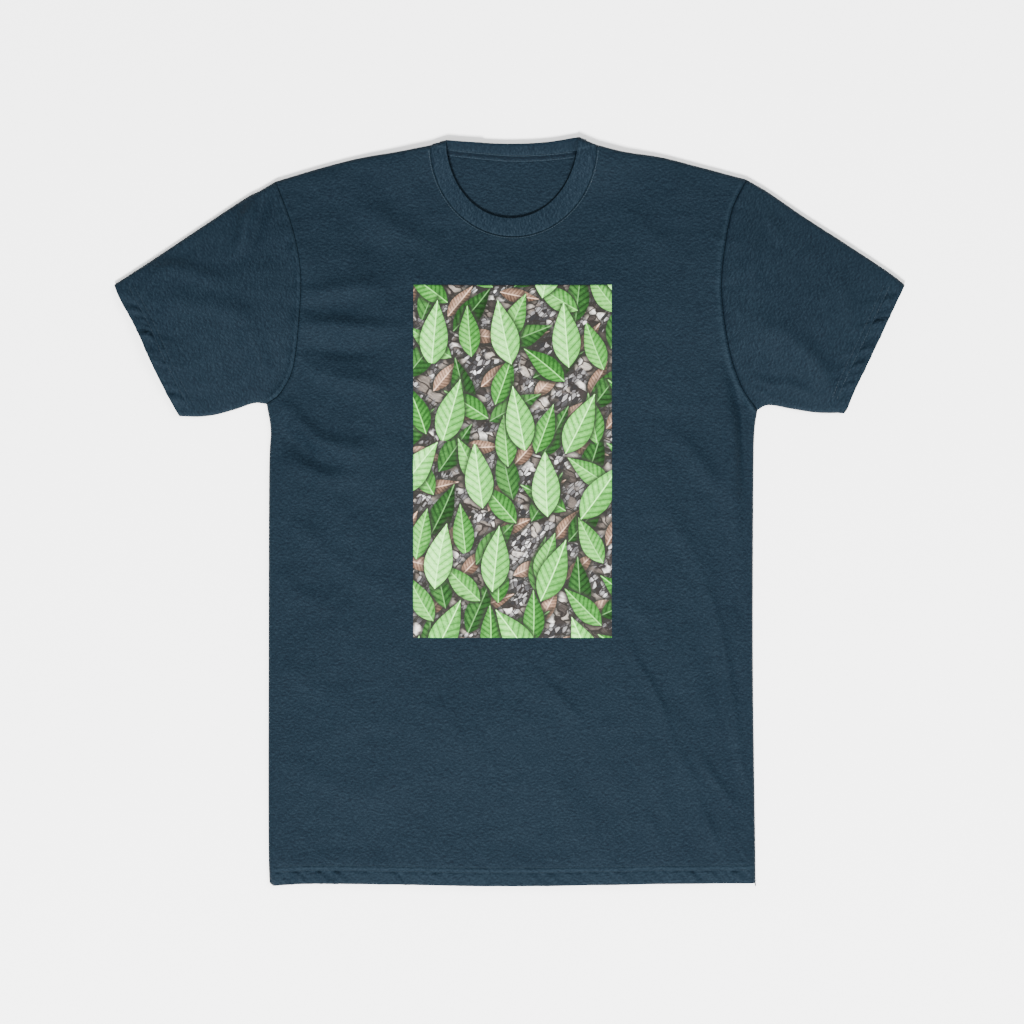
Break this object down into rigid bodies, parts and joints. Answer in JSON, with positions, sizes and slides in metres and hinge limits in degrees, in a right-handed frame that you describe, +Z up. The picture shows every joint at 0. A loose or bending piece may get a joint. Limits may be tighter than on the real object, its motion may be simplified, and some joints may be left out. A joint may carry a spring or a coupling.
{
  "type": "t-shirt",
  "caption": "Dark blue-green crew-neck T-shirt with short set-in sleeves, a rib neckband, stitched hems and a rectangular leaf print on the chest, laid flat on its back.",
  "frame": {"origin": "on the surface that the shirt lies on, under the middle of its bounding box", "axes": "+X towards the sleeve of the wearer's left arm, +Y from the hem to the neck, +Z up out of the chest"},
  "size_m": [0.781, 0.739, 0.0241],
  "materials": {
    "jersey": "dyed cotton single jersey, matt, with a fine uneven yarn",
    "rib": "dyed cotton 1x1 rib, matt",
    "tape": "dyed cotton tape, matt",
    "print": "soft ink in the knit: green leaves on a brown-grey ground"
  },
  "bodies": {
    "root": {"front_panel": "jersey", "back_panel": "jersey", "sleeve_left": "jersey", "sleeve_right": "jersey", "neckband": "rib", "neck_tape": "tape", "chest_print": "print"}
  },
  "joints": []
}
